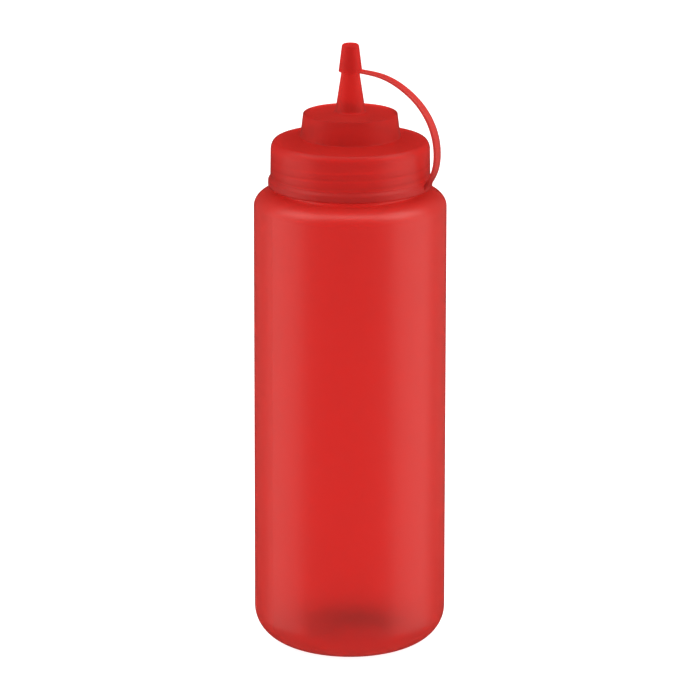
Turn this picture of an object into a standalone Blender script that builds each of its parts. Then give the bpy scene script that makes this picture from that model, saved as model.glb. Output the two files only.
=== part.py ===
"""Squeeze bottle with a screw lid and a tethered nozzle cap. Metres, +Z up, origin at the middle of the foot."""

import math

import bmesh
import bpy

# Bottle: a blow-moulded shell that stands on a flat ring
BODY_RADIUS = 0.0450
SHOULDER_RADIUS = 0.0444
SHOULDER_START = 0.2096
SHOULDER_REACH = 0.0101
SHOULDER_HEIGHT = 0.0075
HEEL_REACH = 0.0163
HEEL_HEIGHT = 0.0153
FOOT_INNER_RADIUS = 0.0215
PUSH_UP_HEIGHT = 0.0060
WALL = 0.0012
BASE_WALL = 0.0016
BOTTLE_SIDES = 48
PUSH_UP_STEPS = 6
HEEL_STEPS = 9
SHOULDER_STEPS = 9
INNER_STEPS = 7

# Neck and its thread, inside the lid
NECK_RADIUS = 0.0330
NECK_BORE_RADIUS = 0.0317
NECK_TOP = 0.2380
LIP_ROUNDING = 0.0005
NECK_FILLET = 0.0006
THROAT_CHAMFER = 0.0012
THROAT_EASE = 0.00015
THREAD_START = 0.2245
THREAD_PITCH = 0.0040
THREAD_TURNS = 2
THREAD_HALF_WIDTH = 0.0011
THREAD_SINK = 0.0002
THREAD_POINTS_A_TURN = 24
THREAD_RUN_OUT = 5

# Lid: skirt, sloping shoulder, drum and nozzle in one moulding
SKIRT_BOTTOM = 0.2193
SKIRT_BOTTOM_RADIUS = 0.03673
SKIRT_TOP = 0.2360
SKIRT_TOP_RADIUS = 0.03655
SKIRT_BORE_RADIUS = 0.0350
SEAT_RADIUS = 0.0360
SEAT_TOP = 0.2242
LID_EDGE_REACH = 0.0027
LID_EDGE_HEIGHT = 0.0046
LID_EDGE_STEPS = 6
DRUM_BASE_RADIUS = 0.0229
DRUM_BASE = 0.2421
DRUM_TOP_RADIUS = 0.0217
DRUM_TOP = 0.2532
DRUM_EDGE_ROUNDING = 0.0008
DRUM_EDGE_STEPS = 4
LID_WALL = 0.0015
NOZZLE_FILLET = 0.0013
NOZZLE_FILLET_STEPS = 4
NOZZLE_BASE_RADIUS = 0.00703
NOZZLE_TIP_RADIUS = 0.00267
NOZZLE_TIP = 0.2820
NOZZLE_WALL = 0.0012
NOZZLE_CHAMFER = 0.0003
LID_SIDES = 48

# Tether cap: a ring on the skirt's seat, a strap and the cap over the nozzle, in one moulding
GAP = 0.0003
RING_RADIUS = 0.0378
RING_BOTTOM = 0.2190
RING_TOP = 0.2239
RING_ROUNDING = 0.0010
RING_ROUNDING_STEPS = 3
CAP_BOTTOM = 0.27215
CAP_BOTTOM_RADIUS = 0.00542
CAP_TOP = 0.28505
CAP_TOP_RADIUS = 0.00402
CAP_ROUNDING = 0.0014
CAP_ROUNDING_STEPS = 5
SOCKET_HEADROOM = 0.0004
SOCKET_OVERRUN = 0.0012
STRAP_WIDTH = 0.0066
STRAP_THICKNESS = 0.0015
STRAP_STEPS = 9
STRAP_CORNER_STEPS = 2
STRAP_TURN_DEG = -22.0
RING_SIDES = 60
CAP_SIDES = 28

# The strap's middle line in its own upright plane: distance from the axis, height, direction in
# degrees, handle before and after, and the size of the section against STRAP_WIDTH
STRAP_KNOTS = (
    (0.0026, 0.2728, -6.0, 0.0030, 0.0090, 0.78),
    (0.0290, 0.2639, -38.0, 0.0134, 0.0098, 0.88),
    (0.0425, 0.2367, -90.0, 0.0117, 0.0080, 1.00),
    (0.0371, 0.2209, -120.0, 0.0055, 0.0010, 1.10),
)

SHARP_EDGE_DEG = 32.0
WELD = 0.00001

BOTTLE_RED = (0.690, 0.052, 0.043)
LID_RED = (0.520, 0.021, 0.017)
TETHER_RED = (0.740, 0.045, 0.038)


def clear_scene():
    for obj in list(bpy.data.objects):
        bpy.data.objects.remove(obj)


def collection(name):
    made = bpy.data.collections.new(name)
    bpy.context.scene.collection.children.link(made)
    return made


def plastic(name, color, roughness):
    material = bpy.data.materials.new(name)
    material.use_nodes = True
    material.diffuse_color = (*color, 1.0)
    shader = material.node_tree.nodes["Principled BSDF"]
    shader.inputs["Base Color"].default_value = (*color, 1.0)
    shader.inputs["Roughness"].default_value = roughness
    shader.inputs["Metallic"].default_value = 0.0
    return material


def arc(centre, radii, start_deg, end_deg, steps):
    """Points of an elliptic arc in the profile's plane, both ends included."""
    points = []
    for step in range(steps + 1):
        turn = math.radians(start_deg + (end_deg - start_deg) * step / steps)
        points.append(
            (centre[0] + radii[0] * math.cos(turn), centre[1] + radii[1] * math.sin(turn))
        )
    return points


def dome(edge_radius, edge_height, rise, steps):
    """Points from the dome's edge to its top on the axis."""
    points = []
    for step in range(steps + 1):
        share = step / steps
        points.append((edge_radius * (1 - share), edge_height + rise * math.sin(share * math.pi / 2)))
    return points


def turned(name, profile, sides, home, closed):
    """A Screw about +Z on a profile whose outer side runs from top to bottom."""
    mesh = bpy.data.meshes.new(name)
    count = len(profile)
    edges = [(i, i + 1) for i in range(count - 1)]
    if closed:
        edges.append((count - 1, 0))
    mesh.from_pydata([(radius, 0.0, height) for radius, height in profile], edges, [])
    obj = bpy.data.objects.new(name, mesh)
    home.objects.link(obj)
    screw = obj.modifiers.new("Turn", "SCREW")
    screw.steps = sides
    screw.render_steps = sides
    screw.use_merge_vertices = True
    screw.merge_threshold = WELD
    screw.use_smooth_shade = True
    return obj


def as_mesh(obj):
    """The object's evaluated shape as a mesh of its own, its caps welded."""
    graph = bpy.context.evaluated_depsgraph_get()
    mesh = bpy.data.meshes.new_from_object(obj.evaluated_get(graph))
    mesh.name = obj.name
    shape = bmesh.new()
    shape.from_mesh(mesh)
    bmesh.ops.remove_doubles(shape, verts=shape.verts, dist=WELD)
    bmesh.ops.recalc_face_normals(shape, faces=shape.faces)
    shape.to_mesh(mesh)
    shape.free()
    return mesh


def curve_to_mesh(obj, home):
    made = bpy.data.objects.new(obj.name, as_mesh(obj))
    made.matrix_world = obj.matrix_world
    home.objects.link(made)
    bpy.data.objects.remove(obj)
    return made


def helper(obj):
    obj.hide_render = True
    obj.display_type = "WIRE"
    return obj


def combine(obj, operation, other):
    step = obj.modifiers.new(other.name, "BOOLEAN")
    step.operation = operation
    step.solver = "EXACT"
    step.object = helper(other)


def settle(obj, material):
    """Makes the modifiers' result the object's own mesh, smooth but for its sharp edges."""
    mesh = as_mesh(obj)
    obj.modifiers.clear()
    obj.data = mesh
    mesh.shade_smooth()
    mesh.set_sharp_from_angle(angle=math.radians(SHARP_EDGE_DEG))
    mesh.materials.clear()
    mesh.materials.append(material)


def bottle_profile():
    """Up the inside from the axis to the lip, then down the outside and back to the axis."""
    shoulder_centre = (SHOULDER_RADIUS - SHOULDER_REACH, SHOULDER_START)
    heel_centre = (BODY_RADIUS - HEEL_REACH, HEEL_HEIGHT)
    inner_reach = SHOULDER_REACH - WALL
    inner_shoulder_height = SHOULDER_HEIGHT - WALL
    throat = SHOULDER_START + inner_shoulder_height
    neck_foot = SHOULDER_START + SHOULDER_HEIGHT
    points = dome(FOOT_INNER_RADIUS + WALL, BASE_WALL, PUSH_UP_HEIGHT, PUSH_UP_STEPS)[::-1]
    points += arc(heel_centre, (HEEL_REACH - WALL, HEEL_HEIGHT - BASE_WALL), -90, 0, INNER_STEPS)
    points += arc(shoulder_centre, (inner_reach, inner_shoulder_height), 0, 90, INNER_STEPS)
    points += [(NECK_BORE_RADIUS + THROAT_CHAMFER, throat + THROAT_EASE)]
    points += [(NECK_BORE_RADIUS, throat + THROAT_CHAMFER)]
    points += [(NECK_BORE_RADIUS, NECK_TOP - LIP_ROUNDING), (NECK_BORE_RADIUS + LIP_ROUNDING, NECK_TOP)]
    points += [(NECK_RADIUS - LIP_ROUNDING, NECK_TOP), (NECK_RADIUS, NECK_TOP - LIP_ROUNDING)]
    points += [(NECK_RADIUS, neck_foot + NECK_FILLET)]
    points += [(NECK_RADIUS + NECK_FILLET / 2, neck_foot + NECK_FILLET / 4)]
    points += arc(shoulder_centre, (SHOULDER_REACH, SHOULDER_HEIGHT), 90, 0, SHOULDER_STEPS)
    points += arc(heel_centre, (HEEL_REACH, HEEL_HEIGHT), 0, -90, HEEL_STEPS)
    points += dome(FOOT_INNER_RADIUS, 0.0, PUSH_UP_HEIGHT, PUSH_UP_STEPS)
    return points


def neck_thread(home):
    """A round-backed helical ridge that thins out at both ends, as a mesh."""
    curve = bpy.data.curves.new("neck_thread", "CURVE")
    curve.dimensions = "3D"
    curve.bevel_depth = THREAD_HALF_WIDTH
    curve.bevel_resolution = 1
    curve.use_fill_caps = True
    count = THREAD_TURNS * THREAD_POINTS_A_TURN + 1
    spline = curve.splines.new("POLY")
    spline.points.add(count - 1)
    for index, point in enumerate(spline.points):
        turn = 2 * math.pi * index / THREAD_POINTS_A_TURN
        to_end = min(index, count - 1 - index)
        share = min(1.0, (to_end + 1) / (THREAD_RUN_OUT + 1))
        radius = NECK_RADIUS - THREAD_SINK * (2 - share)
        height = THREAD_START + THREAD_PITCH * index / THREAD_POINTS_A_TURN
        point.co = (radius * math.cos(turn), radius * math.sin(turn), height, 1.0)
        point.radius = share
    obj = bpy.data.objects.new("neck_thread", curve)
    home.objects.link(obj)
    return curve_to_mesh(obj, home)


def make_bottle(home, cutters):
    bottle = turned("bottle", bottle_profile(), BOTTLE_SIDES, home, closed=False)
    combine(bottle, "UNION", neck_thread(cutters))
    settle(bottle, plastic("bottle_plastic", BOTTLE_RED, 0.45))


def nozzle_radius(height):
    slope = (NOZZLE_BASE_RADIUS - NOZZLE_TIP_RADIUS) / (NOZZLE_TIP - DRUM_TOP)
    return NOZZLE_TIP_RADIUS + slope * (NOZZLE_TIP - height)


def lid_profile():
    """Down the outside from the nozzle's tip to the skirt's hem, then up the inside."""
    fillet_top = DRUM_TOP + NOZZLE_FILLET
    fillet_centre = (nozzle_radius(fillet_top) + NOZZLE_FILLET, fillet_top)
    fillet_radii = (NOZZLE_FILLET, NOZZLE_FILLET)
    drum_edge_centre = (DRUM_TOP_RADIUS - DRUM_EDGE_ROUNDING, DRUM_TOP - DRUM_EDGE_ROUNDING)
    drum_edge_radii = (DRUM_EDGE_ROUNDING, DRUM_EDGE_ROUNDING)
    lid_edge_centre = (SKIRT_TOP_RADIUS - LID_EDGE_REACH, SKIRT_TOP)
    tip_bore = NOZZLE_TIP_RADIUS - NOZZLE_WALL
    drum_ceiling = DRUM_TOP - LID_WALL
    lid_ceiling = SKIRT_TOP + LID_EDGE_HEIGHT - LID_WALL
    chamfer_foot = NOZZLE_TIP - NOZZLE_CHAMFER
    points = [(tip_bore, chamfer_foot), (tip_bore + NOZZLE_CHAMFER, NOZZLE_TIP)]
    points += [(NOZZLE_TIP_RADIUS - NOZZLE_CHAMFER, NOZZLE_TIP), (NOZZLE_TIP_RADIUS, chamfer_foot)]
    points += arc(fillet_centre, fillet_radii, 180, 270, NOZZLE_FILLET_STEPS)
    points += arc(drum_edge_centre, drum_edge_radii, 90, 0, DRUM_EDGE_STEPS)
    points += [(DRUM_BASE_RADIUS, DRUM_BASE)]
    points += arc(lid_edge_centre, (LID_EDGE_REACH, LID_EDGE_HEIGHT), 90, 0, LID_EDGE_STEPS)
    points += [(SKIRT_BOTTOM_RADIUS, SEAT_TOP), (SEAT_RADIUS, SEAT_TOP)]
    points += [(SEAT_RADIUS, SKIRT_BOTTOM), (SKIRT_BORE_RADIUS, SKIRT_BOTTOM)]
    points += [(SKIRT_BORE_RADIUS, SKIRT_TOP), (SKIRT_BORE_RADIUS - LID_WALL, lid_ceiling)]
    points += [(DRUM_BASE_RADIUS - LID_WALL, DRUM_BASE - LID_WALL)]
    points += [(DRUM_TOP_RADIUS - LID_WALL, drum_ceiling)]
    points += [(nozzle_radius(drum_ceiling) - NOZZLE_WALL, drum_ceiling)]
    return points


def make_lid(home):
    lid = turned("lid", lid_profile(), LID_SIDES, home, closed=True)
    settle(lid, plastic("lid_plastic", LID_RED, 0.38))


def ring_profile():
    bore = SEAT_RADIUS + GAP
    rounding = (RING_ROUNDING, RING_ROUNDING)
    middle = RING_RADIUS - RING_ROUNDING
    points = [(bore, RING_TOP)]
    points += arc((middle, RING_TOP - RING_ROUNDING), rounding, 90, 0, RING_ROUNDING_STEPS)
    points += arc((middle, RING_BOTTOM + RING_ROUNDING), rounding, 0, -90, RING_ROUNDING_STEPS)
    points += [(bore, RING_BOTTOM)]
    return points


def cap_profile():
    points = [(0.0, CAP_TOP)]
    middle = (CAP_TOP_RADIUS - CAP_ROUNDING, CAP_TOP - CAP_ROUNDING)
    points += arc(middle, (CAP_ROUNDING, CAP_ROUNDING), 90, 0, CAP_ROUNDING_STEPS)
    points += [(CAP_BOTTOM_RADIUS, CAP_BOTTOM), (0.0, CAP_BOTTOM)]
    return points


def socket_profile():
    """The nozzle's cone grown by the gap, from above its tip to below the cap."""
    top = NOZZLE_TIP + SOCKET_HEADROOM
    below = CAP_BOTTOM - SOCKET_OVERRUN
    points = [(0.0, top), (nozzle_radius(NOZZLE_TIP) + GAP, top)]
    points += [(nozzle_radius(below) + GAP, below), (0.0, below)]
    return points


def strap_section(home):
    """The strap's flat section, its corners rounded, as a closed curve that a bevel follows."""
    corner = STRAP_THICKNESS / 2 - WELD
    curve = bpy.data.curves.new("strap_section", "CURVE")
    curve.dimensions = "2D"
    spline = curve.splines.new("POLY")
    points = []
    for start, side in ((0, 1), (90, 1), (180, -1), (270, -1)):
        across = 1 if start in (0, 270) else -1
        centre = (across * (STRAP_THICKNESS / 2 - corner), side * (STRAP_WIDTH / 2 - corner))
        points += arc(centre, (corner, corner), start, start + 90, STRAP_CORNER_STEPS)
    spline.points.add(len(points) - 1)
    for point, (x, y) in zip(spline.points, points):
        point.co = (x, y, 0.0, 1.0)
    spline.use_cyclic_u = True
    obj = helper(bpy.data.objects.new("strap_section", curve))
    home.objects.link(obj)
    return obj


def make_strap(home):
    """The band from the cap to the ring, bent in one upright plane."""
    section = strap_section(home)
    curve = bpy.data.curves.new("strap", "CURVE")
    curve.dimensions = "2D"
    curve.resolution_u = STRAP_STEPS
    curve.bevel_mode = "OBJECT"
    curve.bevel_object = section
    curve.use_fill_caps = True
    spline = curve.splines.new("BEZIER")
    spline.bezier_points.add(len(STRAP_KNOTS) - 1)
    for knot, (out, height, direction, before, after, size) in zip(spline.bezier_points, STRAP_KNOTS):
        along = (math.cos(math.radians(direction)), math.sin(math.radians(direction)))
        knot.handle_left_type = "FREE"
        knot.handle_right_type = "FREE"
        knot.co = (out, height, 0.0)
        knot.handle_left = (out - before * along[0], height - before * along[1], 0.0)
        knot.handle_right = (out + after * along[0], height + after * along[1], 0.0)
        knot.radius = size
    obj = bpy.data.objects.new("strap", curve)
    home.objects.link(obj)
    obj.rotation_euler = (math.pi / 2, 0.0, math.radians(STRAP_TURN_DEG))
    bpy.context.view_layer.update()
    strap = curve_to_mesh(obj, home)
    bpy.data.objects.remove(section)
    return strap


def make_tether_cap(home, cutters):
    tether = turned("tether_cap", ring_profile(), RING_SIDES, home, closed=True)
    cap = turned("cap_body", cap_profile(), CAP_SIDES, cutters, closed=False)
    socket = turned("cap_socket", socket_profile(), CAP_SIDES, cutters, closed=False)
    combine(tether, "UNION", cap)
    combine(tether, "UNION", make_strap(cutters))
    combine(tether, "DIFFERENCE", socket)
    settle(tether, plastic("tether_plastic", TETHER_RED, 0.40))


def main():
    clear_scene()
    parts = collection("squeeze_bottle")
    cutters = collection("helpers")
    make_bottle(parts, cutters)
    make_lid(parts)
    make_tether_cap(parts, cutters)
    for obj in list(cutters.objects):
        bpy.data.objects.remove(obj)
    bpy.data.collections.remove(cutters)


main()
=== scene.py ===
"""Looks of the squeeze bottle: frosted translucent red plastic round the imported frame. Metres, +Z up."""

import math

import bpy
import numpy as np
from mathutils import Matrix, Vector


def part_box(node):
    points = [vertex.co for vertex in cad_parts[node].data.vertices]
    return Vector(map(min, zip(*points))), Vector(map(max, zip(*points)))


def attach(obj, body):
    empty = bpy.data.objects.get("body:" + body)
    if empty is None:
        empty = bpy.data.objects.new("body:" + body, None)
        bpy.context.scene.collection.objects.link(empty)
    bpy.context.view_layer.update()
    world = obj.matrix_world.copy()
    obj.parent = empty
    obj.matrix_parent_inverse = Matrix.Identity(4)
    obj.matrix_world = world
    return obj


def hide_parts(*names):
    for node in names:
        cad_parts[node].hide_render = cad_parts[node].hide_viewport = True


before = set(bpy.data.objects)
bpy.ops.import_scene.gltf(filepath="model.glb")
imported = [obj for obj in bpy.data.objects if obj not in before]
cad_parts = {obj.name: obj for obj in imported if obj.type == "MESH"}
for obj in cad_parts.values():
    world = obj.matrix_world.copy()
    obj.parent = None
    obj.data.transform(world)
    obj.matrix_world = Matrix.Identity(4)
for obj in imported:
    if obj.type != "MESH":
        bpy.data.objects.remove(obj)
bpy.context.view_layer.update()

MM = 0.001
TURN = 2 * math.pi

# Sizes that the frame gives
BODY_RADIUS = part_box("bottle")[1][0]
NECK_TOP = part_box("bottle")[1][2]
SKIRT_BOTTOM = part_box("lid")[0][2]
SKIRT_BOTTOM_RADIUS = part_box("lid")[1][0]
NOZZLE_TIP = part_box("lid")[1][2]
CAP_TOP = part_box("tether_cap")[1][2]
RING_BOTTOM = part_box("tether_cap")[0][2]
RING_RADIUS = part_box("tether_cap")[1][1]

# Bottle
SHOULDER_RADIUS = BODY_RADIUS - 0.6 * MM
SHOULDER_START = NECK_TOP - 28.4 * MM
SHOULDER_REACH = 10.1 * MM
SHOULDER_HEIGHT = 7.5 * MM
HEEL_REACH = 16.3 * MM
HEEL_HEIGHT = 15.3 * MM
FOOT_INNER_RADIUS = 21.5 * MM
PUSH_UP_HEIGHT = 6.0 * MM
WALL = 1.2 * MM
BASE_WALL = 1.6 * MM
NECK_RADIUS = 33.0 * MM
NECK_BORE_RADIUS = 31.7 * MM
NECK_FILLET = WALL / 2
THROAT_CHAMFER = WALL
THROAT_EASE = WALL / 8
LIP_ROUNDING = 0.5 * MM

# Thread on the neck and in the lid
THREAD_PITCH = 4.0 * MM
THREAD_START = NECK_TOP - 13.5 * MM
THREAD_END = NECK_TOP - 4.5 * MM
THREAD_RISE = 0.9 * MM
THREAD_HALF_WIDTH = 0.9 * MM
LID_THREAD_START = THREAD_START - 0.5 * THREAD_PITCH

# Mould's parting plane: faint seams on the wall that is this near the body's radius, with closer
# points at these distances beside them, and where the mould pinched the base shut, a ridge below
# and a low mound above
PARTING_ANGLE = math.radians(217.0)
SEAM_RISE = 0.07 * MM
SEAM_HALF_WIDTH = 0.35 * MM
SEAM_ZONE = 1.0 * MM
SEAM_STEPS = (0.2 * MM, 0.35 * MM, 0.7 * MM, 1.2 * MM, 1.8 * MM, 2.6 * MM)
SEAM_CLEARANCE = 1.2 * SEAM_STEPS[-1]
PINCH_HALF_LENGTH = 19.0 * MM
PINCH_FADE = 5.0 * MM
PINCH_RISE = 1.0 * MM
PINCH_HALF_WIDTH = 0.8 * MM
MOUND_RISE = 1.4 * MM
MOUND_REACH = 7.0 * MM

# Lid
SKIRT_TOP = SKIRT_BOTTOM + 16.7 * MM
SKIRT_TOP_RADIUS = SKIRT_BOTTOM_RADIUS - 0.18 * MM
SKIRT_BORE_RADIUS = 35.0 * MM
SEAT_RADIUS = 36.0 * MM
SEAT_TOP = SKIRT_BOTTOM + 4.9 * MM
LID_EDGE_REACH = 2.7 * MM
LID_EDGE_HEIGHT = 4.6 * MM
DRUM_BASE_RADIUS = 22.9 * MM
DRUM_BASE = SKIRT_BOTTOM + 22.8 * MM
DRUM_TOP_RADIUS = 21.7 * MM
DRUM_TOP = SKIRT_BOTTOM + 33.9 * MM
DRUM_EDGE_ROUNDING = 0.8 * MM
DRUM_FOOT_FILLET = 0.6 * MM
DRUM_FOOT_LIFT = 0.8 * DRUM_FOOT_FILLET
DRUM_FOOT_END_DEG = 262
LID_WALL = 1.5 * MM
NOZZLE_FILLET = 1.3 * MM
NOZZLE_BASE_RADIUS = 7.03 * MM
NOZZLE_TIP_RADIUS = 2.67 * MM
NOZZLE_WALL = 1.2 * MM
NOZZLE_CHAMFER = NOZZLE_WALL / 4

# Tether: the ring below the skirt, the cap with its socket, and the strap
GAP = 0.08 * MM
RING_TOP = SEAT_TOP - 0.05 * MM
RING_SLOPE = 2.4 * MM
RING_ROUNDING = 1.1 * MM
CAP_BOTTOM = CAP_TOP - 12.9 * MM
CAP_BOTTOM_RADIUS = 5.42 * MM
CAP_TOP_RADIUS = 4.02 * MM
CAP_ROUNDING = 1.4 * MM
CAP_RIM_ROUNDING = 0.3 * MM
SOCKET_HEADROOM = 0.4 * MM
SOCKET_OVERCUT = 1.2 * MM
HUB_RADIUS = 0.2 * MM
STRAP_WIDTH = 6.6 * MM
STRAP_THICKNESS = 1.5 * MM
STRAP_CORNER = 0.55 * MM
STRAP_TURN = math.radians(-22.0)
# The strap's middle line in its upright plane: distance from the axis, height below the cap's
# top, direction in degrees, handle before and after, all in millimetres, and the section's size
STRAP_KNOTS = (
    (2.6, 12.25, -6.0, 3.0, 9.0, 0.78),
    (29.0, 21.15, -38.0, 13.4, 9.8, 0.88),
    (42.5, 48.35, -90.0, 11.7, 8.0, 1.0),
    (37.1, 64.15, -120.0, 5.5, 1.0, 1.1),
)

# How finely round things are cut, what counts as on a surface, and where shading breaks
SIDES = 192
CAP_SIDES = 72
TOUCH = 0.01 * MM
SHARP_ANGLE = math.radians(40.0)

# Depth of colour, 0 pale to 1 deep. The base's patch is a disc behind the axis, drawn out along X,
# and a band along the parting plane. The band is plastic thickened where the mould pinched the base,
# and the disc is painted shade: darker colour for the shade over the base, seen through the front
# wall. It fades between two heights, and its place and size are chosen so that it looks as the dark
# patch behind the front wall does
SHADE_DISC_PLACE = (1.0 * MM, 13.0 * MM)
SHADE_DISC_STRETCH = 1.2
SHADE_DISC_RADII = (11.0 * MM, 25.0 * MM)
PATCH_HEIGHTS = (8.0 * MM, 14.0 * MM)
BAND_SHARE = 0.25
BAND_REACH = 8.0 * MM
BAND_ENDS = (14.0 * MM, 24.0 * MM)
THREAD_TINT = 0.6
RING_TINT = 0.65
TINT_STEP = 2.0 * MM

# Plastics: pale and deep colour, the satin skin's weight where pale and where deep, and how
# densely the inside absorbs light
BOTTLE_PLASTIC = {
    "pale": (0.667, 0.052, 0.042, 1.0),
    # The deep colour is the base's patch: thick plastic along the pinch, and painted shade in the disc
    "deep": (0.16, 0.001, 0.001, 1.0),
    "satin": (0.33, 0.10),
    "roughness": 0.36,
    "transmission": 0.86,
    "ior": 1.20,
    "absorption": 0.0,
}
LID_PLASTIC = {
    "pale": (0.685, 0.034, 0.026, 1.0),
    "deep": (0.585, 0.040, 0.032, 1.0),
    "satin": (0.28, 0.03),
    "roughness": 0.42,
    "transmission": 0.85,
    "ior": 1.10,
    "absorption": 250.0,
}
TETHER_PLASTIC = {
    "pale": (0.53, 0.040, 0.032, 1.0),
    "deep": (0.56, 0.020, 0.016, 1.0),
    "satin": (0.50, 0.02),
    "roughness": 0.45,
    "transmission": 0.78,
    "ior": 1.15,
    "absorption": 350.0,
}
ABSORPTION_COLOR = (0.73, 0.0, 0.0, 1.0)
SATIN_ROUGHNESS = 0.38
SPECULAR_LEVEL = 0.05

# Noise in the plastics: clouds in the colour, uneven gloss, and the skin's fine grain
CLOUD_SCALE = 45.0
CLOUD_DETAIL = 3.0
CLOUD_SHARE = 0.08
GLOSS_SCALE = 90.0
GLOSS_SPREAD = 0.03
SKIN_SCALE = 600.0
SKIN_DEPTH = 0.01 * MM
SKIN_STRENGTH = 0.25
FINE_DETAIL = 2.0
NOISE_RANGE = (0.3, 0.7)

# Stage: a glowing pale floor, a white room, and softboxes with name, place, target, size, watts
WHITE = (1.0, 1.0, 1.0, 1.0)
FLOOR_HALF = 8.0
FLOOR_COLOR = (0.4, 0.4, 0.4, 1.0)
FLOOR_ROUGHNESS = 0.9
FLOOR_GLOW = 0.9
ROOM_GLOW = 1.05
LIGHT_COLOR = (1.0, 0.95, 0.88)
SOFTBOXES = (
    ("softbox_left", (-1.0, -0.1, 0.14), (0.0, 0.0, 0.14), (1.0, 1.3), 6.8),
    ("softbox_right", (1.0, -0.2, 0.14), (0.0, 0.0, 0.14), (1.1, 1.3), 8.8),
    ("softbox_left_top", (-0.7, -0.1, 1.0), (0.0, 0.0, 0.2), (0.8, 0.6), 6.5),
    ("softbox_right_top", (0.7, -0.1, 1.0), (0.0, 0.0, 0.2), (0.8, 0.6), 8.0),
    ("softbox_left_back", (-0.8, 0.75, 0.3), (0.0, 0.0, 0.2), (0.7, 1.3), 0.35),
    ("softbox_right_back", (0.8, 0.75, 0.3), (0.0, 0.0, 0.2), (0.7, 1.3), 0.6),
    ("softbox_top", (0.0, -0.25, 1.15), (0.0, 0.0, 0.2), (0.7, 0.4), 4.0),
)

# Camera: a long lens, 16 degrees above level
LENS_MM = 180.3
SENSOR_MM = 36.0
CAMERA_PLACE = (0.0, -1.5688, 0.59008)
CAMERA_PITCH = math.radians(16.0)
CAMERA_ROLL = math.radians(0.086)


def arc(centre, radii, start_deg, end_deg, steps):
    """Points of an elliptic arc in the profile's plane, both ends included."""
    points = []
    for step in range(steps + 1):
        turn = math.radians(start_deg + (end_deg - start_deg) * step / steps)
        points.append(
            (centre[0] + radii[0] * math.cos(turn), centre[1] + radii[1] * math.sin(turn))
        )
    return points


def line(start, end, steps):
    """Evenly spaced points after start, up to and with end."""
    return [
        (
            start[0] + (end[0] - start[0]) * step / steps,
            start[1] + (end[1] - start[1]) * step / steps,
        )
        for step in range(1, steps + 1)
    ]


def dome(edge_radius, edge_height, rise, steps):
    """Points from the dome's edge to its top, which is a short way off the axis."""
    points = []
    for step in range(steps):
        share = step / steps
        points.append((edge_radius * (1 - share), edge_height + rise * math.sin(share * math.pi / 2)))
    return points


def even_turns(sides):
    """Even steps round the axis."""
    return np.arange(sides) * TURN / sides


def turns_with_seams(sides, radius):
    """Even steps round the axis, with closer ones in their place beside both seams."""
    turns = even_turns(sides)
    steps = np.array(SEAM_STEPS) / radius
    for seam in (PARTING_ANGLE, PARTING_ANGLE + math.pi):
        off = np.abs((turns - seam + math.pi) % TURN - math.pi)
        kept = turns[off > SEAM_CLEARANCE / radius]
        turns = np.concatenate([kept, seam - steps, [seam], seam + steps])
    return np.sort(turns % TURN)


def add_mesh(name, verts, faces):
    mesh = bpy.data.meshes.new(name)
    mesh.from_pydata(verts, [], faces)
    mesh.update()
    obj = bpy.data.objects.new(name, mesh)
    bpy.context.scene.collection.objects.link(obj)
    return obj


def quads(rings, sides, closed=False):
    """Faces from each ring of points to the next, and from the last to the first if closed."""
    faces = []
    for ring in range(rings if closed else rings - 1):
        here = ring * sides
        below = (ring + 1) % rings * sides
        for side in range(sides):
            after = (side + 1) % sides
            faces.append((here + side, below + side, below + after, here + after))
    return faces


def lathe(name, profile, turns, reshape=None, closed=False):
    """A turned solid: rings of the profile's points, whose outer side runs from top to bottom.

    reshape moves points off the round: it takes radius, turn and height as grids and returns
    the radius and height. An open profile starts and ends on a fan round the axis.
    """
    radius = np.repeat([[point[0]] for point in profile], len(turns), axis=1)
    height = np.repeat([[point[1]] for point in profile], len(turns), axis=1)
    angle = np.tile(turns, (len(profile), 1))
    if reshape:
        radius, height = reshape(radius, angle, height)
    points = np.stack([radius * np.cos(angle), radius * np.sin(angle), height], -1)
    rings, sides = radius.shape
    verts = points.reshape(-1, 3).tolist()
    faces = quads(rings, sides, closed)
    if not closed:
        for ring in (0, rings - 1):
            hub = len(verts)
            verts.append(points[ring].mean(0).tolist())
            for side in range(sides):
                rim = (ring * sides + side, ring * sides + (side + 1) % sides)
                faces.append((hub, *rim) if ring == 0 else (hub, *rim[::-1]))
    return add_mesh(name, verts, faces)


def smooth(obj):
    obj.data.shade_smooth()
    obj.data.set_sharp_from_angle(angle=SHARP_ANGLE)


def eased(value, start, end):
    """0 up to start, 1 from end, and a soft step between."""
    share = np.clip((value - start) / (end - start), 0, 1)
    return share * share * (3 - 2 * share)


def ridge(distance, half_width):
    """A rounded ridge's height share at a distance from its middle."""
    share = np.clip(np.abs(distance) / half_width, 0, 1)
    return 0.5 + 0.5 * np.cos(share * math.pi)


def thread_share(angle, height, start, end):
    """A helical ridge's height share, thinning out over a quarter pitch at both ends."""
    along = (height - start) / THREAD_PITCH - angle / TURN
    off = (along - np.round(along)) * THREAD_PITCH
    middle = height - off
    fade_in = np.clip((middle - start) / (THREAD_PITCH / 4), 0, 1)
    fade_out = np.clip((end - middle) / (THREAD_PITCH / 4), 0, 1)
    return ridge(off, THREAD_HALF_WIDTH) * fade_in * fade_out


def off_parting(x, y):
    """How far points lie across the mould's parting plane, and how far along it from the axis."""
    across = y * math.cos(PARTING_ANGLE) - x * math.sin(PARTING_ANGLE)
    along = np.abs(x * math.cos(PARTING_ANGLE) + y * math.sin(PARTING_ANGLE))
    return across, along


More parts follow.
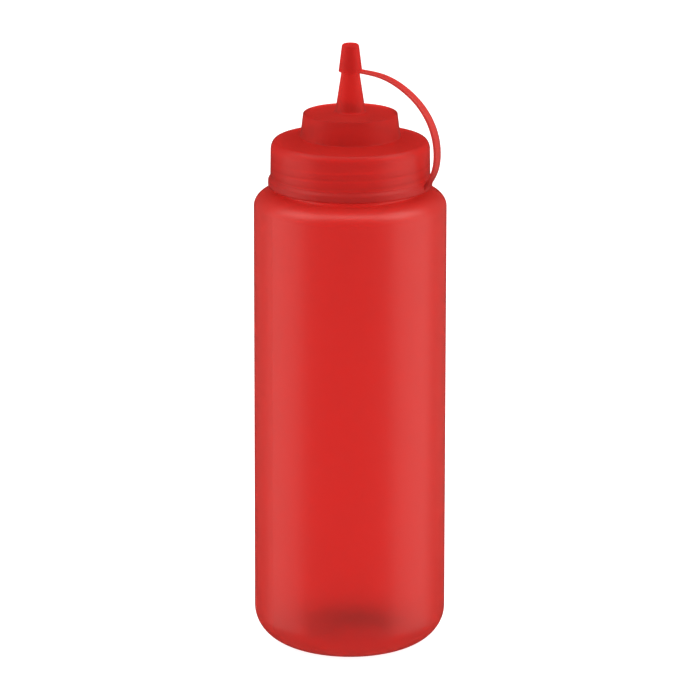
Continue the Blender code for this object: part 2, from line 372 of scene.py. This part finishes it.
def bottle_profile():
    """Up the inside from the base to the lip, then down the outside to the base."""
    shoulder_centre = (SHOULDER_RADIUS - SHOULDER_REACH, SHOULDER_START)
    heel_centre = (BODY_RADIUS - HEEL_REACH, HEEL_HEIGHT)
    inner_reach = SHOULDER_REACH - WALL
    inner_shoulder_height = SHOULDER_HEIGHT - WALL
    throat = SHOULDER_START + inner_shoulder_height
    neck_foot = SHOULDER_START + SHOULDER_HEIGHT
    lip = (LIP_ROUNDING, LIP_ROUNDING)
    lip_foot = NECK_TOP - LIP_ROUNDING
    points = dome(FOOT_INNER_RADIUS + WALL, BASE_WALL, PUSH_UP_HEIGHT, 22)[::-1]
    points += arc(heel_centre, (HEEL_REACH - WALL, HEEL_HEIGHT - BASE_WALL), -90, 0, 18)
    points += line(points[-1], (SHOULDER_RADIUS - WALL, SHOULDER_START), 24)[:-1]
    points += arc(shoulder_centre, (inner_reach, inner_shoulder_height), 0, 90, 14)
    points += [(NECK_BORE_RADIUS + THROAT_CHAMFER, throat + THROAT_EASE)]
    points += [(NECK_BORE_RADIUS, throat + THROAT_CHAMFER)]
    points += line(points[-1], (NECK_BORE_RADIUS, lip_foot), 6)
    points += arc((NECK_BORE_RADIUS + LIP_ROUNDING, lip_foot), lip, 135, 90, 2)
    points += arc((NECK_RADIUS - LIP_ROUNDING, lip_foot), lip, 90, 0, 3)
    points += line(points[-1], (NECK_RADIUS, neck_foot + NECK_FILLET), 48)
    points += [(NECK_RADIUS + NECK_FILLET / 2, neck_foot + THROAT_EASE)]
    points += arc(shoulder_centre, (SHOULDER_REACH, SHOULDER_HEIGHT), 90, 0, 22)
    points += line(points[-1], (BODY_RADIUS, HEEL_HEIGHT), 28)[:-1]
    points += arc(heel_centre, (HEEL_REACH, HEEL_HEIGHT), 0, -90, 24)
    points += dome(FOOT_INNER_RADIUS, 0.0, PUSH_UP_HEIGHT, 22)
    return points


def shape_bottle(radius, angle, height):
    """Thread on the neck, seams down the outside, and the base's pinched ridge and mound."""
    across, along = off_parting(radius * np.cos(angle), radius * np.sin(angle))
    on_neck = (np.abs(radius - NECK_RADIUS) < TOUCH) & (height > SHOULDER_START + SHOULDER_HEIGHT)
    thread = THREAD_RISE * thread_share(angle, height, THREAD_START, THREAD_END)
    on_wall = np.abs(radius - BODY_RADIUS) < SEAM_ZONE
    seam = SEAM_RISE * ridge(across, SEAM_HALF_WIDTH)
    on_base = radius < FOOT_INNER_RADIUS + WALL
    below = np.arange(len(radius))[:, None] > len(radius) // 2
    fade = np.clip((PINCH_HALF_LENGTH - along) / PINCH_FADE, 0, 1)
    pinch = PINCH_RISE * ridge(across, PINCH_HALF_WIDTH) * fade
    mound = MOUND_RISE * np.exp(-((across / MOUND_REACH) ** 2)) * fade
    radius = radius + np.where(on_neck, thread, 0.0) + np.where(on_wall, seam, 0.0)
    height = height + np.where(on_base, np.where(below, -pinch, mound), 0.0)
    return radius, height


def nozzle_radius(height):
    """The nozzle's outer radius at a height."""
    slope = (NOZZLE_BASE_RADIUS - NOZZLE_TIP_RADIUS) / (NOZZLE_TIP - DRUM_TOP)
    return NOZZLE_TIP_RADIUS + slope * (NOZZLE_TIP - height)


def lid_profile():
    """Down the outside from the nozzle's tip to the skirt's hem, then up the inside."""
    fillet_top = DRUM_TOP + NOZZLE_FILLET
    fillet_centre = (nozzle_radius(fillet_top) + NOZZLE_FILLET, fillet_top)
    drum_edge_centre = (DRUM_TOP_RADIUS - DRUM_EDGE_ROUNDING, DRUM_TOP - DRUM_EDGE_ROUNDING)
    drum_foot_centre = (DRUM_BASE_RADIUS + DRUM_FOOT_FILLET, DRUM_BASE + DRUM_FOOT_LIFT)
    lid_edge_centre = (SKIRT_TOP_RADIUS - LID_EDGE_REACH, SKIRT_TOP)
    inner_edge_centre = (SKIRT_BORE_RADIUS - LID_WALL, SKIRT_TOP)
    tip_bore = NOZZLE_TIP_RADIUS - NOZZLE_WALL
    tip_edge = NOZZLE_TIP - NOZZLE_CHAMFER
    drum_ceiling = DRUM_TOP - LID_WALL
    lid_ceiling = SKIRT_TOP + LID_EDGE_HEIGHT - LID_WALL
    points = [(tip_bore, tip_edge), (tip_bore + NOZZLE_CHAMFER, NOZZLE_TIP)]
    points += [(NOZZLE_TIP_RADIUS - NOZZLE_CHAMFER, NOZZLE_TIP), (NOZZLE_TIP_RADIUS, tip_edge)]
    points += line(points[-1], (nozzle_radius(fillet_top), fillet_top), 12)[:-1]
    points += arc(fillet_centre, (NOZZLE_FILLET,) * 2, 180, 270, 7)
    points += line(points[-1], (drum_edge_centre[0], DRUM_TOP), 6)[:-1]
    points += arc(drum_edge_centre, (DRUM_EDGE_ROUNDING,) * 2, 90, 0, 9)
    points += line(points[-1], (DRUM_BASE_RADIUS, drum_foot_centre[1]), 6)[:-1]
    points += arc(drum_foot_centre, (DRUM_FOOT_FILLET,) * 2, 180, DRUM_FOOT_END_DEG, 5)
    points += line(points[-1], (lid_edge_centre[0], SKIRT_TOP + LID_EDGE_HEIGHT), 5)[:-1]
    points += arc(lid_edge_centre, (LID_EDGE_REACH, LID_EDGE_HEIGHT), 90, 0, 12)
    points += line(points[-1], (SKIRT_BOTTOM_RADIUS, SEAT_TOP), 40)
    points += [(SEAT_RADIUS, SEAT_TOP), (SEAT_RADIUS, SKIRT_BOTTOM)]
    points += [(SKIRT_BORE_RADIUS, SKIRT_BOTTOM)]
    points += line(points[-1], (SKIRT_BORE_RADIUS, SKIRT_TOP), 56)
    points += arc(inner_edge_centre, (LID_WALL, lid_ceiling - SKIRT_TOP), 0, 90, 5)[1:]
    points += line(points[-1], (DRUM_BASE_RADIUS - LID_WALL, DRUM_BASE - LID_WALL), 4)
    points += line(points[-1], (DRUM_TOP_RADIUS - LID_WALL, drum_ceiling), 5)
    points += line(points[-1], (nozzle_radius(drum_ceiling) - NOZZLE_WALL, drum_ceiling), 4)
    points += line(points[-1], (tip_bore, tip_edge), 10)[:-1]
    return points


def shape_lid(radius, angle, height):
    """The lid's own thread, half a pitch off the neck's."""
    in_bore = np.abs(radius - SKIRT_BORE_RADIUS) < TOUCH
    thread = THREAD_RISE * thread_share(angle, height, LID_THREAD_START, THREAD_END)
    return radius - np.where(in_bore, thread, 0.0), height


def ring_profile():
    """From the skirt's own radius out to the ring's, round below, and back in."""
    bore = SEAT_RADIUS + GAP
    reach = RING_RADIUS - SKIRT_BOTTOM_RADIUS
    lower_centre = (RING_RADIUS - RING_ROUNDING, RING_BOTTOM + RING_ROUNDING)
    points = [(bore, RING_TOP)]
    for share in np.linspace(0, 1, 9):
        points.append((SKIRT_BOTTOM_RADIUS + reach * eased(share, 0, 1), RING_TOP - RING_SLOPE * share))
    points += arc(lower_centre, (RING_ROUNDING,) * 2, 0, -90, 6)
    points += [(bore, RING_BOTTOM)]
    return points


def cap_profile():
    """Down the cap's outside, with a rounded top edge and rim."""
    top_centre = (CAP_TOP_RADIUS - CAP_ROUNDING, CAP_TOP - CAP_ROUNDING)
    rim_centre = (CAP_BOTTOM_RADIUS - CAP_RIM_ROUNDING, CAP_BOTTOM + CAP_RIM_ROUNDING)
    points = [(HUB_RADIUS, CAP_TOP)]
    points += arc(top_centre, (CAP_ROUNDING,) * 2, 90, 0, 9)
    points += arc(rim_centre, (CAP_RIM_ROUNDING,) * 2, 0, -90, 4)
    points += [(HUB_RADIUS, CAP_BOTTOM)]
    return points


def socket_profile():
    """The cap's socket: the nozzle's cone with a gap round it, cut on past the cap's rim."""
    top = NOZZLE_TIP + SOCKET_HEADROOM
    below = CAP_BOTTOM - SOCKET_OVERCUT
    points = [(HUB_RADIUS, top), (nozzle_radius(NOZZLE_TIP) + GAP, top)]
    points += [(nozzle_radius(below) + GAP, below), (HUB_RADIUS, below)]
    return points


def bezier(first, second, third, fourth, share):
    """The point at a share of a cubic curve with two ends and two handles."""
    rest = 1 - share
    return (
        rest**3 * first
        + 3 * rest**2 * share * second
        + 3 * rest * share**2 * third
        + share**3 * fourth
    )


def strap_path(steps):
    """Points, upright-plane normals and section sizes along the strap's middle line."""
    knots = []
    for out, below, direction, before, after, size in STRAP_KNOTS:
        place = np.array([out * MM, CAP_TOP - below * MM])
        along = np.array([math.cos(math.radians(direction)), math.sin(math.radians(direction))])
        knots.append((place, place - before * MM * along, place + after * MM * along, size))
    points, sizes = [], []
    for (a, _, a_out, a_size), (b, b_in, _, b_size) in zip(knots, knots[1:]):
        for step in range(steps):
            share = step / steps
            points.append(bezier(a, a_out, b_in, b, share))
            sizes.append(a_size + (b_size - a_size) * eased(share, 0, 1))
    points.append(knots[-1][0])
    sizes.append(knots[-1][3])
    points = np.array(points)
    along = np.gradient(points, axis=0)
    along /= np.linalg.norm(along, axis=1)[:, None]
    normals = np.stack([-along[:, 1], along[:, 0]], -1)
    return points, normals, np.array(sizes)


def section_points(corner_steps):
    """The strap's flat section: across its thickness and along its width, corners rounded."""
    reach = (STRAP_THICKNESS / 2 - STRAP_CORNER, STRAP_WIDTH / 2 - STRAP_CORNER)
    points = []
    for turn, side_x, side_y in ((0, 1, 1), (90, -1, 1), (180, -1, -1), (270, 1, -1)):
        centre = (side_x * reach[0], side_y * reach[1])
        points += arc(centre, (STRAP_CORNER,) * 2, turn, turn + 90, corner_steps)
    return np.array(points)


def make_strap():
    """The section swept along the middle line, in an upright plane turned about the axis."""
    section = section_points(5)
    out = np.array([math.cos(STRAP_TURN), math.sin(STRAP_TURN), 0.0])
    up = np.array([0.0, 0.0, 1.0])
    side = np.cross(out, up)
    rings = []
    for (rho, z), normal, size in zip(*strap_path(22)):
        lift = normal[0] * out + normal[1] * up
        rings.append(rho * out + z * up + size * (section[:, :1] * lift + section[:, 1:] * side))
    count = len(section)
    last = (len(rings) - 1) * count
    faces = quads(len(rings), count)
    faces.append(tuple(range(count)))
    faces.append(tuple(range(last, last + count))[::-1])
    return add_mesh("strap", np.concatenate(rings).tolist(), faces)


def join(obj, others):
    """Unions or cuts obj with the others, applies the result and removes them."""
    for operation, other in others:
        step = obj.modifiers.new(other.name, "BOOLEAN")
        step.operation = operation
        step.solver = "EXACT"
        step.object = other
    graph = bpy.context.evaluated_depsgraph_get()
    mesh = bpy.data.meshes.new_from_object(obj.evaluated_get(graph))
    obj.modifiers.clear()
    obj.data = mesh
    for _, other in others:
        bpy.data.objects.remove(other)


def noise(tree, place, scale, detail):
    """The output of a noise in the piece's own space."""
    made = tree.nodes.new("ShaderNodeTexNoise")
    made.inputs["Scale"].default_value = scale
    made.inputs["Detail"].default_value = detail
    tree.links.new(place.outputs["Object"], made.inputs["Vector"])
    return made.outputs[0]


def mapped(tree, value, source, target):
    """The output of value taken from one range to another."""
    made = tree.nodes.new("ShaderNodeMapRange")
    made.inputs["From Min"].default_value = source[0]
    made.inputs["From Max"].default_value = source[1]
    made.inputs["To Min"].default_value = target[0]
    made.inputs["To Max"].default_value = target[1]
    tree.links.new(value, made.inputs["Value"])
    return made.outputs["Result"]


def clouded(tree, depth, clouds):
    """The output of the depth of colour, with a share of it left to the clouds."""
    weighed = tree.nodes.new("ShaderNodeMath")
    weighed.operation = "MULTIPLY"
    weighed.inputs[1].default_value = 1 - CLOUD_SHARE
    tree.links.new(depth, weighed.inputs[0])
    cloudy = tree.nodes.new("ShaderNodeMath")
    cloudy.operation = "MULTIPLY_ADD"
    cloudy.inputs[1].default_value = CLOUD_SHARE
    tree.links.new(clouds, cloudy.inputs[0])
    tree.links.new(weighed.outputs[0], cloudy.inputs[2])
    return cloudy.outputs[0]


def blended(tree, share, pale, deep):
    """The output of a colour from pale to deep, where the clouds' mean share counts as none."""
    ramp = tree.nodes.new("ShaderNodeValToRGB")
    first, last = ramp.color_ramp.elements
    first.position = CLOUD_SHARE / 2
    first.color = pale
    last.position = 1 - CLOUD_SHARE / 2
    last.color = deep
    tree.links.new(share, ramp.inputs["Fac"])
    return ramp.outputs["Color"]


def plastic(name, pale, deep, satin, roughness, transmission, ior, absorption):
    """Translucent plastic: cloudy depth of colour, uneven gloss, a satin skin, and absorption.

    satin is the skin's weight where the colour is pale, and where it is deep.
    """
    made = bpy.data.materials.new(name)
    made.use_nodes = True
    tree = made.node_tree
    shader = tree.nodes["Principled BSDF"]
    shader.inputs["Base Color"].default_value = pale
    shader.inputs["Roughness"].default_value = roughness
    shader.inputs["Transmission Weight"].default_value = transmission
    shader.inputs["IOR"].default_value = ior
    shader.inputs["Specular IOR Level"].default_value = SPECULAR_LEVEL
    shader.inputs["Coat Roughness"].default_value = SATIN_ROUGHNESS

    place = tree.nodes.new("ShaderNodeTexCoord")
    attribute = tree.nodes.new("ShaderNodeAttribute")
    attribute.attribute_name = "depth"
    depth = attribute.outputs["Fac"]
    cloudy = clouded(tree, depth, noise(tree, place, CLOUD_SCALE, CLOUD_DETAIL))
    tree.links.new(blended(tree, cloudy, pale, deep), shader.inputs["Base Color"])
    tree.links.new(mapped(tree, depth, (0.0, 1.0), satin), shader.inputs["Coat Weight"])

    gloss_range = (roughness - GLOSS_SPREAD, roughness + GLOSS_SPREAD)
    gloss = mapped(tree, noise(tree, place, GLOSS_SCALE, FINE_DETAIL), NOISE_RANGE, gloss_range)
    tree.links.new(gloss, shader.inputs["Roughness"])

    skin = tree.nodes.new("ShaderNodeBump")
    skin.inputs["Strength"].default_value = SKIN_STRENGTH
    skin.inputs["Distance"].default_value = SKIN_DEPTH
    tree.links.new(noise(tree, place, SKIN_SCALE, FINE_DETAIL), skin.inputs["Height"])
    tree.links.new(skin.outputs["Normal"], shader.inputs["Normal"])

    if absorption:
        inside = tree.nodes.new("ShaderNodeVolumeAbsorption")
        inside.inputs["Color"].default_value = ABSORPTION_COLOR
        inside.inputs["Density"].default_value = absorption
        tree.links.new(inside.outputs["Volume"], tree.nodes["Material Output"].inputs["Volume"])
    return made


def tint(obj, depth_at):
    """Stores how deep the plastic's colour is at each point, 0 pale to 1 deep."""
    mesh = obj.data
    points = np.empty(3 * len(mesh.vertices))
    mesh.vertices.foreach_get("co", points)
    x, y, z = points.reshape(-1, 3).T
    layer = mesh.attributes.new("depth", "FLOAT", "POINT")
    layer.data.foreach_set("value", np.clip(depth_at(x, y, z), 0, 1))


def bottle_depth_and_shade(x, y, z):
    """Deep in a patch on the base, pale elsewhere: thickened plastic along the pinch, and painted shade in
    the disc.
    """
    across, along = off_parting(x, y)
    band = np.exp(-((across / BAND_REACH) ** 2)) * (1 - eased(along, *BAND_ENDS))
    out = np.hypot((x - SHADE_DISC_PLACE[0]) / SHADE_DISC_STRETCH, y - SHADE_DISC_PLACE[1])
    disc = 1 - eased(out, *SHADE_DISC_RADII)
    return ((1 - BAND_SHARE) * disc + BAND_SHARE * band) * (1 - eased(z, *PATCH_HEIGHTS))


def lid_depth(x, y, z):
    """Deep in the drum and the nozzle, and pale in the skirt but for the thread inside it."""
    thread = thread_share(np.arctan2(y, x), z, LID_THREAD_START, THREAD_END)
    return eased(z, SKIRT_TOP, DRUM_BASE + TINT_STEP) + THREAD_TINT * thread * (z < SKIRT_TOP)


def tether_depth(x, y, z):
    """Deep in the cap, less so in the ring, and pale along the strap."""
    cap = 1 - eased(np.hypot(x, y), CAP_BOTTOM_RADIUS, CAP_BOTTOM_RADIUS + TINT_STEP)
    ring = 1 - eased(z, RING_TOP, RING_TOP + TINT_STEP)
    return np.maximum(cap, RING_TINT * ring)


def make_bottle():
    turns = turns_with_seams(SIDES, BODY_RADIUS)
    obj = lathe("bottle_shell", bottle_profile(), turns, shape_bottle)
    smooth(obj)
    # Darker patch on the base: thick plastic along the pinch, and painted shade in a disc
    tint(obj, bottle_depth_and_shade)
    obj.data.materials.append(plastic("bottle_plastic", **BOTTLE_PLASTIC))
    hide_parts("bottle")
    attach(obj, "root")


def make_lid():
    obj = lathe("lid_shell", lid_profile(), even_turns(SIDES), shape_lid, closed=True)
    smooth(obj)
    tint(obj, lid_depth)
    obj.data.materials.append(plastic("lid_plastic", **LID_PLASTIC))
    # No shadow, in place of the light that its translucent wall would let through
    obj.visible_shadow = False
    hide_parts("lid")
    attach(obj, "root")


def make_tether():
    obj = lathe("tether_band", ring_profile(), even_turns(SIDES), closed=True)
    cap = lathe("cap_body", cap_profile(), even_turns(CAP_SIDES))
    socket = lathe("cap_socket", socket_profile(), even_turns(CAP_SIDES))
    join(obj, (("UNION", cap), ("UNION", make_strap()), ("DIFFERENCE", socket)))
    smooth(obj)
    tint(obj, tether_depth)
    obj.data.materials.append(plastic("tether_plastic", **TETHER_PLASTIC))
    # No shadow, for the same reason as the lid's
    obj.visible_shadow = False
    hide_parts("tether_cap")
    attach(obj, "root")


def make_stage():
    half = FLOOR_HALF
    corners = [(-half, -half, 0), (half, -half, 0), (half, half, 0), (-half, half, 0)]
    floor = add_mesh("floor", corners, [(0, 1, 2, 3)])
    paint = bpy.data.materials.new("floor_paint")
    paint.use_nodes = True
    shader = paint.node_tree.nodes["Principled BSDF"]
    shader.inputs["Base Color"].default_value = FLOOR_COLOR
    shader.inputs["Roughness"].default_value = FLOOR_ROUGHNESS
    shader.inputs["Emission Color"].default_value = WHITE
    shader.inputs["Emission Strength"].default_value = FLOOR_GLOW
    floor.data.materials.append(paint)
    # Only the softboxes are mirrored in the plastic, and they reach down past the floor
    floor.visible_glossy = False
    floor.visible_shadow = False


def softbox(name, place, target, size, watts):
    light = bpy.data.lights.new(name, "AREA")
    light.shape = "RECTANGLE"
    light.size = size[0]
    light.size_y = size[1]
    light.energy = watts
    light.color = LIGHT_COLOR
    obj = bpy.data.objects.new(name, light)
    bpy.context.scene.collection.objects.link(obj)
    obj.location = place
    obj.rotation_euler = (Vector(target) - Vector(place)).to_track_quat("-Z", "Y").to_euler()


def make_light():
    world = bpy.data.worlds.new("studio")
    bpy.context.scene.world = world
    world.use_nodes = True
    background = world.node_tree.nodes["Background"]
    background.inputs["Color"].default_value = WHITE
    background.inputs["Strength"].default_value = ROOM_GLOW
    world.cycles_visibility.glossy = False
    for row in SOFTBOXES:
        softbox(*row)
    bpy.context.scene.view_settings.view_transform = "Standard"


def make_camera():
    data = bpy.data.cameras.new("camera")
    data.lens = LENS_MM
    data.sensor_width = SENSOR_MM
    camera = bpy.data.objects.new("camera", data)
    bpy.context.scene.collection.objects.link(camera)
    camera.location = CAMERA_PLACE
    pitch = Matrix.Rotation(math.pi / 2 - CAMERA_PITCH, 3, "X")
    roll = Matrix.Rotation(CAMERA_ROLL, 3, "Z")
    camera.rotation_euler = (pitch @ roll).to_euler()
    bpy.context.scene.camera = camera


make_camera()
make_bottle()
make_lid()
make_tether()
make_stage()
make_light()
